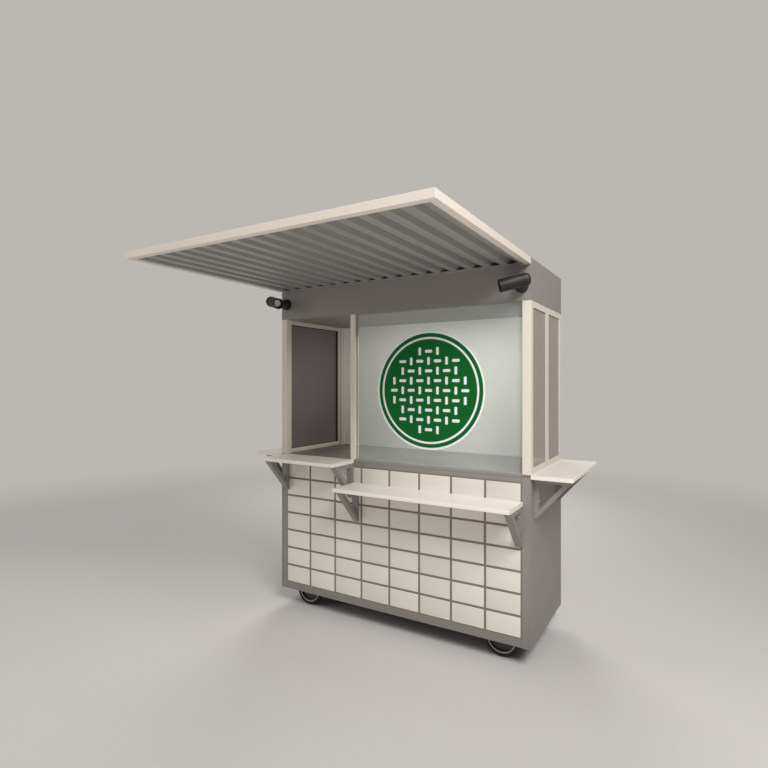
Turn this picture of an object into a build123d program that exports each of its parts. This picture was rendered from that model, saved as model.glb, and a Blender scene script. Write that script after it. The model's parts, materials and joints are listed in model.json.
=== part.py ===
"""Street kiosk on four rigid castors, with a serving hatch, a tiled base and a ribbed canopy.

Frame: +X to the right of someone facing the kiosk, +Y from the front to the back, +Z up.
The origin is on the ground, under the middle of the whole object's box.
All sizes are in millimetres.
"""

import os
from math import cos, radians, sqrt, tan

from build123d import *

os.makedirs("parts", exist_ok=True)

# Body
WIDTH = 2000.0  # body, end to end
DEPTH = 800.0  # body, front to back
GROUND_GAP = 130.0  # ground to the underside of the base
BASE_HEIGHT = 1070.0  # underside of the base to the top of the worktop
WINDOW_HEIGHT = 1068.0  # worktop to the underside of the fascia
FASCIA_HEIGHT = 262.0  # fascia with the roof board on it
TUBE_WALL = 2.0  # wall of every square or oblong steel tube
TUBE_CORNER = 3.0  # its outer corners

# Base
BASE_POST = 44.0  # square tube in each corner of the base
BOTTOM_RAIL_HEIGHT = 55.0
TOP_RAIL_HEIGHT = 32.0
BASE_SKIN = 12.0  # side and back boards of the base
TILE_BOARD = 18.0  # board that carries the tiles
WORKTOP = 18.0
FLOOR_BOARD = 15.0
CHASSIS_HEIGHT = 40.0  # tubes under the floor
CHASSIS_BEAM = 24.0  # long tubes, front to back
BEARER_WIDTH = 110.0  # cross tubes over the castors

# Castors
WHEEL_RADIUS = 120.0
WHEEL_WIDTH = 36.0
WHEEL_FROM_END = 213.0  # castor axle to the nearer end of the body
WHEEL_FROM_FACE = 101.0  # middle of a wheel to the nearer face of the body
TYRE_HEIGHT = 25.0  # tread to bead
TREAD_DROP = 5.0  # how far the shoulder of the tread lies inside its crown
RIM_RING = 9.0  # width of the raised ring inside the tyre
RIM_WEB = 7.0
HUB_RADIUS = 24.0
HUB_COVER_RADIUS = 44.0
HUB_COVER = 5.0
AXLE_RADIUS = 6.0
AXLE_PLAY = 0.05  # radial, in the hub
HUB_END_PLAY = 0.5  # hub to fork leg, each side
FORK_SIDE_GAP = 5.0  # tyre to fork leg, each side
FORK_SHEET = 4.0
FORK_TOP_LENGTH = 76.0  # leg where it leaves the plate
FORK_EYE_RADIUS = 17.0  # rounded end of the leg
CASTOR_PLATE_LENGTH = 110.0
CASTOR_PLATE_WIDTH = 78.0
CASTOR_PLATE = 5.0
CASTOR_PLATE_CORNER = 8.0
CASTOR_HOLE_RADIUS = 5.0
CASTOR_HOLE_EDGE = 12.0  # middle of a bolt hole to the two edges of the plate
TREAD_CLEARANCE = 17.0  # tread to the castor plate
NUT_HEIGHT = 7.0
NUT_FLATS = 19.0

# Window storey
CORNER_POST = 54.0
MULLION = 42.0
HATCH_WIDTH = 612.0  # serving hatch, between corner post and mullion
FRONT_GLASS = 8.0
FRONT_GLASS_RECESS = 22.0
REAR_PANEL = 12.0
BACK_RECESS = 3.0  # back panels inside the back face of the body
WINDOW_RAIL_HEIGHT = 38.0  # outside, over the edge of the glass
WINDOW_SEAT_HEIGHT = 18.0  # inside, under the edge of the glass
WINDOW_LIP = 8.0  # outer face of a rail to the glass
WINDOW_FRAME_DEPTH = 30.0
WINDOW_STILE = 66.0  # bar on the outer face of the glass
SIDE_GLASS = 6.0

# Fascia and roof
FASCIA_BOARD = 18.0
CEILING_BOARD = 12.0
ROOF_BOARD = 12.0

# Canopy
CANOPY_REACH = 1350.0
CANOPY_BAR_WIDTH = 40.0
CANOPY_BAR_HEIGHT = 42.0
CANOPY_LEDGE = 46.0  # flat bar on the fascia, under the end of the sheet
CANOPY_LEDGE_HEIGHT = 5.0
RIB_COUNT = 17
RIB_DEPTH = 26.0
RIB_FLAT_SHARE = 0.44  # of one pitch, the low flat of a rib
RIB_SLOPE_SHARE = 0.10  # of one pitch, each slope
SHEET = 1.5

# Shelves and their brackets
SHELF_BOARD = 26.0
SHELF_ROUND = 5.0  # edges round the top and the underside
FRONT_SHELF_REACH = 270.0
SIDE_SHELF_REACH = 250.0
COUNTER_LENGTH = 659.0
COUNTER_INSET = 38.0  # from the left end of the body
LONG_SHELF_TOP = 1032.0  # above the ground
LONG_SHELF_LENGTH = 1250.0
SHELF_GAP = 4.0  # counter to the long shelf, along the front
BRACKET_REACH = 230.0
BRACKET_DROP = 256.0
BRACKET_WIDTH = 44.0
BRACKET_BAR = 28.0  # depth of the bars on the wall and under the board
BRACKET_STRUT = 26.0
BRACKET_NOSE = 10.0  # end face at each tip
BRACKET_SKIN = 3.0  # pressed steel, open to the wall and to the board
SIDE_BRACKET_INSET = 90.0  # middle of a bracket to the front or back of the body

# Spot lamps
LAMP_FROM_END = 56.0  # foot to the end of the body
LEFT_LAMP_HEIGHT = 2385.0  # above the ground
RIGHT_LAMP_HEIGHT = 2357.0
LAMP_STANDOFF = 150.0  # fascia to the axis of the head
LAMP_FOOT_RADIUS = 42.0
LAMP_FOOT_PLATE = 10.0
LAMP_FOOT_LENGTH = 62.0
LAMP_FOOT_HOLLOW = 52.0  # radius of the curve from the plate to the stem
LAMP_STEM_RADIUS = 11.0
LAMP_PIVOT_GAP = 0.3  # stem to the boss on the head
HEAD_RADIUS = 39.0
HEAD_LENGTH = 185.0
HEAD_AHEAD = 90.0  # pivot to the front rim
HEAD_DOME = 26.0
HEAD_WALL = 3.0
HEAD_CUP = 34.0  # depth of the mouth to the lens
HEAD_BOSS_RADIUS = 15.0
HEAD_BOSS = 6.0  # how far the boss stands off the head
HEAD_TILT = 13.5  # degrees below level
HEAD_TURN = 25.0  # degrees from along the fascia towards the front
LENS = 4.0
LENS_RADIUS = 27.0

# Places that follow from the sizes
END = WIDTH / 2
Y_FRONT = (CANOPY_REACH - DEPTH) / 2
Y_BACK = Y_FRONT + DEPTH
Y_MID = Y_FRONT + DEPTH / 2
Z_DECK = GROUND_GAP + BASE_HEIGHT
Z_HEAD = Z_DECK + WINDOW_HEIGHT
Z_ROOF = Z_HEAD + FASCIA_HEIGHT


def level(height):
    """Level sketch plane over the middle of the body."""
    return Plane(origin=(0, Y_MID, height))


def upright(depth):
    """Sketch plane parallel to the front at one Y, seen from the front."""
    return Plane(origin=(0, depth, 0), x_dir=(1, 0, 0), z_dir=(0, -1, 0))


def endwise(across):
    """Sketch plane parallel to the ends at one X, seen from the right."""
    return Plane(origin=(across, 0, 0), x_dir=(0, 1, 0), z_dir=(1, 0, 0))


def tube_section(width, height):
    """Hollow section, drawn in the open sketch at its present locations."""
    RectangleRounded(width, height, TUBE_CORNER)
    Rectangle(width - 2 * TUBE_WALL, height - 2 * TUBE_WALL, mode=Mode.SUBTRACT)


# ---------------------------------------------------------------- base frame
INNER_END = END - BASE_SKIN
POST_X = INNER_END - BASE_POST / 2
POST_GAP_X = 2 * INNER_END - 2 * BASE_POST
BASE_BACK = DEPTH / 2 - BACK_RECESS - BASE_SKIN
POST_Y_FRONT = -DEPTH / 2 + BASE_POST / 2
POST_Y_BACK = BASE_BACK - BASE_POST / 2
POST_GAP_Y = POST_Y_BACK - POST_Y_FRONT - BASE_POST
POST_MID_Y = (POST_Y_BACK + POST_Y_FRONT) / 2
BASE_POST_HEIGHT = BASE_HEIGHT - WORKTOP
BASE_CORNERS = [(x, y) for x in (-POST_X, POST_X) for y in (POST_Y_FRONT, POST_Y_BACK)]

with BuildPart() as base_posts:
    with BuildSketch(level(GROUND_GAP)):
        with Locations(*BASE_CORNERS):
            tube_section(BASE_POST, BASE_POST)
    extrude(amount=BASE_POST_HEIGHT)
base_posts.part.label = "base_posts"
export_step(base_posts.part, "parts/base_posts.step")


def rail_ring(bottom, height):
    """Four tubes between the base posts, the long pair and then the short pair."""
    middle = bottom + height / 2
    with BuildPart() as ring:
        with BuildSketch(endwise(-POST_GAP_X / 2)):
            with Locations((Y_MID + POST_Y_FRONT, middle), (Y_MID + POST_Y_BACK, middle)):
                tube_section(BASE_POST, height)
        extrude(amount=POST_GAP_X)
        with BuildSketch(upright(Y_MID + POST_MID_Y + POST_GAP_Y / 2)):
            with Locations((-POST_X, middle), (POST_X, middle)):
                tube_section(BASE_POST, height)
        extrude(amount=POST_GAP_Y)
    return ring.part


bottom_rails = rail_ring(GROUND_GAP, BOTTOM_RAIL_HEIGHT)
bottom_rails.label = "bottom_rails"
export_step(bottom_rails, "parts/bottom_rails.step")

top_rails = rail_ring(Z_DECK - WORKTOP - TOP_RAIL_HEIGHT, TOP_RAIL_HEIGHT)
top_rails.label = "top_rails"
export_step(top_rails, "parts/top_rails.step")

# ------------------------------------------------- chassis under the floor
CHASSIS_BOTTOM = 2 * WHEEL_RADIUS + TREAD_CLEARANCE + CASTOR_PLATE
CHASSIS_MIDDLE = CHASSIS_BOTTOM + CHASSIS_HEIGHT / 2
BEAM_Y_FRONT = POST_Y_FRONT + BASE_POST / 2 - CHASSIS_BEAM / 2
BEAM_Y_BACK = POST_Y_BACK - BASE_POST / 2 + CHASSIS_BEAM / 2
BEARER_LENGTH = BEAM_Y_BACK - BEAM_Y_FRONT - CHASSIS_BEAM
CASTOR_X = END - WHEEL_FROM_END
CASTOR_Y = DEPTH / 2 - WHEEL_FROM_FACE

with BuildPart() as chassis_beams:
    with BuildSketch(endwise(-POST_GAP_X / 2)):
        with Locations((Y_MID + BEAM_Y_FRONT, CHASSIS_MIDDLE), (Y_MID + BEAM_Y_BACK, CHASSIS_MIDDLE)):
            tube_section(CHASSIS_BEAM, CHASSIS_HEIGHT)
    extrude(amount=POST_GAP_X)
chassis_beams.part.label = "chassis_beams"
export_step(chassis_beams.part, "parts/chassis_beams.step")

with BuildPart() as castor_bearers:
    with BuildSketch(upright(Y_MID + BEAM_Y_BACK - CHASSIS_BEAM / 2)):
        with Locations((-CASTOR_X, CHASSIS_MIDDLE), (CASTOR_X, CHASSIS_MIDDLE)):
            tube_section(BEARER_WIDTH, CHASSIS_HEIGHT)
    extrude(amount=BEARER_LENGTH)
castor_bearers.part.label = "castor_bearers"
export_step(castor_bearers.part, "parts/castor_bearers.step")

FLOOR_FRONT = -DEPTH / 2 + TILE_BOARD
FLOOR_DEPTH = BASE_BACK - FLOOR_FRONT

with BuildPart() as base_floor:
    with BuildSketch(level(CHASSIS_BOTTOM + CHASSIS_HEIGHT)):
        with Locations((0, FLOOR_FRONT + FLOOR_DEPTH / 2)):
            Rectangle(2 * INNER_END, FLOOR_DEPTH)
        with Locations(*BASE_CORNERS):
            Rectangle(BASE_POST, BASE_POST, mode=Mode.SUBTRACT)
    extrude(amount=FLOOR_BOARD)
base_floor.part.label = "base_floor"
export_step(base_floor.part, "parts/base_floor.step")

# ------------------------------------------------------------- base boards
TILE_BOARD_BOTTOM = GROUND_GAP + BOTTOM_RAIL_HEIGHT
TILE_BOARD_HEIGHT = BASE_HEIGHT - WORKTOP - BOTTOM_RAIL_HEIGHT - TOP_RAIL_HEIGHT

with BuildPart() as front_tile_board:
    with BuildSketch(upright(Y_FRONT + TILE_BOARD)):
        with Locations((0, TILE_BOARD_BOTTOM + TILE_BOARD_HEIGHT / 2)):
            Rectangle(POST_GAP_X, TILE_BOARD_HEIGHT)
    extrude(amount=TILE_BOARD)
front_tile_board.part.label = "front_tile_board"
export_step(front_tile_board.part, "parts/front_tile_board.step")

with BuildPart() as base_side_panels:
    with BuildSketch(level(GROUND_GAP)):
        with Locations((-END + BASE_SKIN / 2, 0), (END - BASE_SKIN / 2, 0)):
            Rectangle(BASE_SKIN, DEPTH)
    extrude(amount=BASE_POST_HEIGHT)
base_side_panels.part.label = "base_side_panels"
export_step(base_side_panels.part, "parts/base_side_panels.step")

with BuildPart() as base_back_panel:
    with BuildSketch(level(GROUND_GAP)):
        with Locations((0, BASE_BACK + BASE_SKIN / 2)):
            Rectangle(2 * INNER_END, BASE_SKIN)
    extrude(amount=BASE_POST_HEIGHT)
base_back_panel.part.label = "base_back_panel"
export_step(base_back_panel.part, "parts/base_back_panel.step")

with BuildPart() as worktop:
    with BuildSketch(level(Z_DECK - WORKTOP)):
        Rectangle(WIDTH, DEPTH)
    extrude(amount=WORKTOP)
worktop.part.label = "worktop"
export_step(worktop.part, "parts/worktop.step")

# ------------------------------------------------------------------ castors
FORK_GAP = WHEEL_WIDTH + 2 * FORK_SIDE_GAP
HUB_LENGTH = FORK_GAP - 2 * HUB_END_PLAY
FORK_WIDTH = FORK_GAP + 2 * FORK_SHEET
PLATE_BOTTOM = CHASSIS_BOTTOM - CASTOR_PLATE
HOLE_SPAN_X = CASTOR_PLATE_LENGTH - 2 * CASTOR_HOLE_EDGE
HOLE_SPAN_Y = CASTOR_PLATE_WIDTH - 2 * CASTOR_HOLE_EDGE
CASTORS = {
    "wheel_front_left": (-CASTOR_X, Y_MID - CASTOR_Y),
    "wheel_front_right": (CASTOR_X, Y_MID - CASTOR_Y),
    "wheel_back_left": (-CASTOR_X, Y_MID + CASTOR_Y),
    "wheel_back_right": (CASTOR_X, Y_MID + CASTOR_Y),
}

with BuildPart() as castor_forks:
    with BuildSketch(Plane.XY.offset(PLATE_BOTTOM)):
        with Locations(*CASTORS.values()):
            RectangleRounded(CASTOR_PLATE_LENGTH, CASTOR_PLATE_WIDTH, CASTOR_PLATE_CORNER)
            with GridLocations(HOLE_SPAN_X, HOLE_SPAN_Y, 2, 2):
                Circle(CASTOR_HOLE_RADIUS, mode=Mode.SUBTRACT)
    extrude(amount=CASTOR_PLATE)
    for axle_x, axle_y in CASTORS.values():
        for leg_back in (axle_y - FORK_GAP / 2, axle_y + FORK_GAP / 2 + FORK_SHEET):
            with BuildSketch(upright(leg_back)):
                with Locations((axle_x, WHEEL_RADIUS)):
                    Circle(FORK_EYE_RADIUS)
                with BuildLine():
                    Polyline(
                        (axle_x - FORK_TOP_LENGTH / 2, PLATE_BOTTOM),
                        (axle_x + FORK_TOP_LENGTH / 2, PLATE_BOTTOM),
                        (axle_x + FORK_EYE_RADIUS, WHEEL_RADIUS),
                        (axle_x - FORK_EYE_RADIUS, WHEEL_RADIUS),
                        close=True,
                    )
                make_face()
                with Locations((axle_x, WHEEL_RADIUS)):
                    Circle(AXLE_RADIUS + AXLE_PLAY, mode=Mode.SUBTRACT)
            extrude(amount=FORK_SHEET)
castor_forks.part.label = "castor_forks"
export_step(castor_forks.part, "parts/castor_forks.step")

with BuildPart() as castor_axles:
    for axle_x, axle_y in CASTORS.values():
        with BuildSketch(upright(axle_y + FORK_WIDTH / 2)):
            with Locations((axle_x, WHEEL_RADIUS)):
                Circle(AXLE_RADIUS)
        extrude(amount=FORK_WIDTH)
        for seat, way in ((axle_y - FORK_WIDTH / 2, 1), (axle_y + FORK_WIDTH / 2, -1)):
            with BuildSketch(upright(seat)):
                with Locations((axle_x, WHEEL_RADIUS)):
                    RegularPolygon(NUT_FLATS / 2, 6, major_radius=False)
            extrude(amount=way * NUT_HEIGHT)
castor_axles.part.label = "castor_axles"
export_step(castor_axles.part, "parts/castor_axles.step")

BEAD_RADIUS = WHEEL_RADIUS - TYRE_HEIGHT
HALF_WHEEL = WHEEL_WIDTH / 2

for name, (axle_x, axle_y) in CASTORS.items():
    axle = Axis((axle_x, axle_y, WHEEL_RADIUS), (0, 1, 0))
    across = Plane(origin=(axle_x, axle_y, WHEEL_RADIUS), x_dir=(0, 1, 0), z_dir=(1, 0, 0))
    with BuildPart() as tyre:
        with BuildSketch(across):
            with BuildLine():
                Polyline(
                    (-HALF_WHEEL, WHEEL_RADIUS - TREAD_DROP),
                    (-HALF_WHEEL, BEAD_RADIUS),
                    (HALF_WHEEL, BEAD_RADIUS),
                    (HALF_WHEEL, WHEEL_RADIUS - TREAD_DROP),
                )
                ThreePointArc(
                    (HALF_WHEEL, WHEEL_RADIUS - TREAD_DROP),
                    (0, WHEEL_RADIUS),
                    (-HALF_WHEEL, WHEEL_RADIUS - TREAD_DROP),
                )
            make_face()
        revolve(axis=axle)
    tyre.part.label = f"{name}_tyre"
    export_step(tyre.part, f"parts/{name}_tyre.step")

    with BuildPart() as rim:
        with BuildSketch(across):
            with Locations((0, BEAD_RADIUS - RIM_RING / 2)):
                Rectangle(WHEEL_WIDTH, RIM_RING)
            with Locations((0, BEAD_RADIUS / 2)):
                Rectangle(RIM_WEB, BEAD_RADIUS)
            with Locations((0, HUB_COVER_RADIUS / 2)):
                Rectangle(RIM_WEB + 2 * HUB_COVER, HUB_COVER_RADIUS)
            with Locations((0, HUB_RADIUS / 2)):
                Rectangle(HUB_LENGTH, HUB_RADIUS)
            with Locations((0, 0)):
                Rectangle(HUB_LENGTH, 2 * (AXLE_RADIUS + AXLE_PLAY), mode=Mode.SUBTRACT)
        revolve(axis=axle)
    rim.part.label = f"{name}_rim"
    export_step(rim.part, f"parts/{name}_rim.step")

# ------------------------------------------------------------ window storey
CORNER_X = END - CORNER_POST / 2
CORNER_Y = DEPTH / 2 - CORNER_POST / 2
MULLION_X = -END + CORNER_POST + HATCH_WIDTH + MULLION / 2

with BuildPart() as corner_posts:
    with BuildSketch(level(Z_DECK)):
        with GridLocations(2 * CORNER_X, 2 * CORNER_Y, 2, 2):
            tube_section(CORNER_POST, CORNER_POST)
    extrude(amount=WINDOW_HEIGHT)
corner_posts.part.label = "corner_posts"
export_step(corner_posts.part, "parts/corner_posts.step")

with BuildPart() as hatch_mullion:
    with BuildSketch(level(Z_DECK)):
        with Locations((MULLION_X, -CORNER_Y)):
            tube_section(MULLION, CORNER_POST)
    extrude(amount=WINDOW_HEIGHT)
hatch_mullion.part.label = "hatch_mullion"
export_step(hatch_mullion.part, "parts/hatch_mullion.step")

GLASS_LEFT = MULLION_X + MULLION / 2
GLASS_RIGHT = END - CORNER_POST

with BuildPart() as front_glass:
    with BuildSketch(upright(Y_FRONT + FRONT_GLASS_RECESS + FRONT_GLASS)):
        with Locations(((GLASS_LEFT + GLASS_RIGHT) / 2, Z_DECK + WINDOW_HEIGHT / 2)):
            Rectangle(GLASS_RIGHT - GLASS_LEFT, WINDOW_HEIGHT)
    extrude(amount=FRONT_GLASS)
front_glass.part.label = "front_glass"
export_step(front_glass.part, "parts/front_glass.step")

with BuildPart() as rear_panel:
    with BuildSketch(upright(Y_BACK - BACK_RECESS)):
        with Locations((0, Z_DECK + WINDOW_HEIGHT / 2)):
            Rectangle(WIDTH - 2 * CORNER_POST, WINDOW_HEIGHT)
    extrude(amount=REAR_PANEL)
rear_panel.part.label = "rear_panel"
export_step(rear_panel.part, "parts/rear_panel.step")

SIDE_OPENING = DEPTH - 2 * CORNER_POST
LIP_X = END - WINDOW_LIP / 2
SEAT_X = END - WINDOW_LIP - (WINDOW_FRAME_DEPTH - WINDOW_LIP) / 2
PANE_X = END - WINDOW_LIP - SIDE_GLASS / 2
STILE_HEIGHT = WINDOW_HEIGHT - 2 * WINDOW_RAIL_HEIGHT
PANE_HEIGHT = WINDOW_HEIGHT - 2 * WINDOW_SEAT_HEIGHT

with BuildPart() as window_rails:
    for bottom in (Z_DECK, Z_HEAD - WINDOW_RAIL_HEIGHT):
        with BuildSketch(level(bottom)):
            with GridLocations(2 * LIP_X, 0, 2, 1):
                Rectangle(WINDOW_LIP, SIDE_OPENING)
        extrude(amount=WINDOW_RAIL_HEIGHT)
    for bottom in (Z_DECK, Z_HEAD - WINDOW_SEAT_HEIGHT):
        with BuildSketch(level(bottom)):
            with GridLocations(2 * SEAT_X, 0, 2, 1):
                Rectangle(WINDOW_FRAME_DEPTH - WINDOW_LIP, SIDE_OPENING)
        extrude(amount=WINDOW_SEAT_HEIGHT)
window_rails.part.label = "window_rails"
export_step(window_rails.part, "parts/window_rails.step")

with BuildPart() as window_stiles:
    with BuildSketch(level(Z_DECK + WINDOW_RAIL_HEIGHT)):
        with GridLocations(2 * LIP_X, 0, 2, 1):
            Rectangle(WINDOW_LIP, WINDOW_STILE)
    extrude(amount=STILE_HEIGHT)
window_stiles.part.label = "window_stiles"
export_step(window_stiles.part, "parts/window_stiles.step")

with BuildPart() as side_glass:
    with BuildSketch(level(Z_DECK + WINDOW_SEAT_HEIGHT)):
        with GridLocations(2 * PANE_X, 0, 2, 1):
            Rectangle(SIDE_GLASS, SIDE_OPENING)
    extrude(amount=PANE_HEIGHT)
side_glass.part.label = "side_glass"
export_step(side_glass.part, "parts/side_glass.step")

# --------------------------------------------------------- fascia and roof
FASCIA_BOARD_HEIGHT = FASCIA_HEIGHT - ROOF_BOARD

with BuildPart() as fascia_front:
    with BuildSketch(upright(Y_FRONT + FASCIA_BOARD)):
        with Locations((0, Z_HEAD + FASCIA_BOARD_HEIGHT / 2)):
            Rectangle(WIDTH, FASCIA_BOARD_HEIGHT)
    extrude(amount=FASCIA_BOARD)
fascia_front.part.label = "fascia_front"
export_step(fascia_front.part, "parts/fascia_front.step")

with BuildPart() as fascia_back:
    with BuildSketch(upright(Y_BACK)):
        with Locations((0, Z_HEAD + FASCIA_BOARD_HEIGHT / 2)):
            Rectangle(WIDTH, FASCIA_BOARD_HEIGHT)
    extrude(amount=FASCIA_BOARD)
fascia_back.part.label = "fascia_back"
export_step(fascia_back.part, "parts/fascia_back.step")

with BuildPart() as fascia_sides:
    with BuildSketch(level(Z_HEAD)):
        with Locations((-END + FASCIA_BOARD / 2, 0), (END - FASCIA_BOARD / 2, 0)):
            Rectangle(FASCIA_BOARD, DEPTH - 2 * FASCIA_BOARD)
    extrude(amount=FASCIA_BOARD_HEIGHT)
fascia_sides.part.label = "fascia_sides"
export_step(fascia_sides.part, "parts/fascia_sides.step")

with BuildPart() as ceiling_board:
    with BuildSketch(level(Z_HEAD)):
        Rectangle(WIDTH - 2 * FASCIA_BOARD, DEPTH - 2 * FASCIA_BOARD)
    extrude(amount=CEILING_BOARD)
ceiling_board.part.label = "ceiling_board"
export_step(ceiling_board.part, "parts/ceiling_board.step")

with BuildPart() as roof_board:
    with BuildSketch(level(Z_ROOF - ROOF_BOARD)):
        Rectangle(WIDTH, DEPTH)
    extrude(amount=ROOF_BOARD)
roof_board.part.label = "roof_board"
export_step(roof_board.part, "parts/roof_board.step")

# ------------------------------------------------------------------- canopy
CANOPY_FRONT = Y_FRONT - CANOPY_REACH
CANOPY_BOTTOM = Z_ROOF - CANOPY_BAR_HEIGHT
CANOPY_BAR_Z = Z_ROOF - CANOPY_BAR_HEIGHT / 2
INNER_SPAN = WIDTH - 2 * CANOPY_BAR_WIDTH
SHEET_LENGTH = CANOPY_REACH - CANOPY_BAR_WIDTH


def draw_mitred_front():
    """Plan of the canopy's front bar with its ends cut at 45 degrees, in the open sketch."""
    Polygon(
        (-END, CANOPY_FRONT),
        (END, CANOPY_FRONT),
        (END - CANOPY_BAR_WIDTH, CANOPY_FRONT + CANOPY_BAR_WIDTH),
        (-END + CANOPY_BAR_WIDTH, CANOPY_FRONT + CANOPY_BAR_WIDTH),
        align=None,
    )


with BuildPart() as canopy_front_bar:
    with BuildSketch(endwise(-END)):
        with Locations((CANOPY_FRONT + CANOPY_BAR_WIDTH / 2, CANOPY_BAR_Z)):
            tube_section(CANOPY_BAR_WIDTH, CANOPY_BAR_HEIGHT)
    extrude(amount=WIDTH)
    with BuildSketch(Plane.XY.offset(CANOPY_BOTTOM)):
        draw_mitred_front()
    extrude(amount=CANOPY_BAR_HEIGHT, mode=Mode.INTERSECT)
canopy_front_bar.part.label = "canopy_front_bar"
export_step(canopy_front_bar.part, "parts/canopy_front_bar.step")

with BuildPart() as canopy_side_bars:
    with BuildSketch(upright(Y_FRONT)):
        with Locations((0, CANOPY_BAR_Z)):
            with GridLocations(WIDTH - CANOPY_BAR_WIDTH, 0, 2, 1):
                tube_section(CANOPY_BAR_WIDTH, CANOPY_BAR_HEIGHT)
    extrude(amount=CANOPY_REACH)
    with BuildSketch(Plane.XY.offset(CANOPY_BOTTOM)):
        draw_mitred_front()
    extrude(amount=CANOPY_BAR_HEIGHT, mode=Mode.SUBTRACT)
canopy_side_bars.part.label = "canopy_side_bars"
export_step(canopy_side_bars.part, "parts/canopy_side_bars.step")

with BuildPart() as canopy_ledge:
    with BuildSketch(Plane.XY.offset(CANOPY_BOTTOM)):
        with Locations((0, Y_FRONT - CANOPY_LEDGE / 2)):
            Rectangle(INNER_SPAN, CANOPY_LEDGE)
    extrude(amount=CANOPY_LEDGE_HEIGHT)
canopy_ledge.part.label = "canopy_ledge"
export_step(canopy_ledge.part, "parts/canopy_ledge.step")

RIB_PITCH = INNER_SPAN / RIB_COUNT
SHEET_LOW = CANOPY_BOTTOM + CANOPY_LEDGE_HEIGHT
RIB_FLAT = RIB_PITCH * RIB_FLAT_SHARE
RIB_SLOPE = RIB_PITCH * RIB_SLOPE_SHARE


def rib_line(lift):
    """Points of the ribbed sheet's line, left to right, each rib a high flat between two slopes."""
    points = [(-INNER_SPAN / 2, SHEET_LOW + lift)]
    for rib in range(RIB_COUNT):
        start = -INNER_SPAN / 2 + rib * RIB_PITCH
        end = start + RIB_PITCH
        points.append((start + RIB_FLAT / 2, SHEET_LOW + lift))
        points.append((start + RIB_FLAT / 2 + RIB_SLOPE, SHEET_LOW + RIB_DEPTH + lift))
        points.append((end - RIB_FLAT / 2 - RIB_SLOPE, SHEET_LOW + RIB_DEPTH + lift))
        points.append((end - RIB_FLAT / 2, SHEET_LOW + lift))
    points.append((INNER_SPAN / 2, SHEET_LOW + lift))
    return points


with BuildPart() as canopy_sheet:
    with BuildSketch(upright(Y_FRONT)):
        with BuildLine():
            Polyline(*rib_line(0), *reversed(rib_line(SHEET)), close=True)
        make_face()
    extrude(amount=SHEET_LENGTH)
canopy_sheet.part.label = "canopy_sheet"
export_step(canopy_sheet.part, "parts/canopy_sheet.step")

# ------------------------------------------------------------------ shelves
COUNTER_LEFT = -END + COUNTER_INSET
COUNTER_RIGHT = COUNTER_LEFT + COUNTER_LENGTH
LONG_LEFT = COUNTER_RIGHT + SHELF_GAP
LONG_RIGHT = LONG_LEFT + LONG_SHELF_LENGTH
STRUT_FALL = BRACKET_DROP - BRACKET_NOSE
STRUT_SPAN = BRACKET_REACH - BRACKET_NOSE
STRUT_LENGTH = sqrt(STRUT_FALL**2 + STRUT_SPAN**2)


def strut_out(under, depth):
    """Distance from the wall, at one drop under the board, of a line this deep inside the strut."""
    level_line = STRUT_FALL * BRACKET_REACH + STRUT_SPAN * (BRACKET_NOSE - under)
    return (level_line - depth * STRUT_LENGTH) / STRUT_FALL


def strut_under(out, depth):
    """Drop under the board, at one distance from the wall, of a line this deep inside the strut."""
    upright_line = STRUT_FALL * (BRACKET_REACH - out) + STRUT_SPAN * BRACKET_NOSE
    return (upright_line - depth * STRUT_LENGTH) / STRUT_SPAN


def draw_bracket(wall, top, outward, skin):
    """Triangular bracket with its opening, this far inside its visible faces, in the open sketch.

    wall and top place the square corner; outward is 1 or -1 along the sketch's x.
    """
    reach = BRACKET_REACH - skin
    drop = BRACKET_DROP - skin
    bar = BRACKET_BAR - skin
    back = BRACKET_STRUT - skin
    Polygon(
        (wall, top),
        (wall + outward * reach, top),
        (wall + outward * reach, top - strut_under(reach, skin)),
        (wall + outward * strut_out(drop, skin), top - drop),
        (wall, top - drop),
        align=None,
    )
    Polygon(
        (wall + outward * bar, top - bar),
        (wall + outward * strut_out(bar, back), top - bar),
        (wall + outward * bar, top - strut_under(bar, back)),
        align=None,
        mode=Mode.SUBTRACT,
    )


def front_brackets(under, middles):
    """Brackets on the front wall, under a board, one at each X."""
    with BuildPart() as pair:
        for middle in middles:
            with BuildSketch(endwise(middle - BRACKET_WIDTH / 2)):
                draw_bracket(Y_FRONT, under, -1, 0)
            extrude(amount=BRACKET_WIDTH)
            with BuildSketch(endwise(middle - BRACKET_WIDTH / 2 + BRACKET_SKIN)):
                draw_bracket(Y_FRONT, under, -1, BRACKET_SKIN)
            extrude(amount=BRACKET_WIDTH - 2 * BRACKET_SKIN, mode=Mode.SUBTRACT)
    return pair.part


def front_shelf(left, right, top):
    """Board on the front wall, its long front edges rounded."""
    with BuildPart() as board:
        with BuildSketch(Plane.XY.offset(top - SHELF_BOARD)):
            with Locations(((left + right) / 2, Y_FRONT - FRONT_SHELF_REACH / 2)):
                Rectangle(right - left, FRONT_SHELF_REACH)
        extrude(amount=SHELF_BOARD)
        fillet(board.faces().sort_by(Axis.Y)[0].edges().filter_by(Axis.X), SHELF_ROUND)
    return board.part


counter_shelf = front_shelf(COUNTER_LEFT, COUNTER_RIGHT, Z_DECK)
counter_shelf.label = "counter_shelf"
export_step(counter_shelf, "parts/counter_shelf.step")

counter_brackets = front_brackets(
    Z_DECK - SHELF_BOARD,
    (COUNTER_LEFT + BRACKET_WIDTH / 2, COUNTER_RIGHT - BRACKET_WIDTH / 2),
)
counter_brackets.label = "counter_brackets"
export_step(counter_brackets, "parts/counter_brackets.step")

long_shelf = front_shelf(LONG_LEFT, LONG_RIGHT, LONG_SHELF_TOP)
long_shelf.label = "long_shelf"
export_step(long_shelf, "parts/long_shelf.step")

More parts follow.
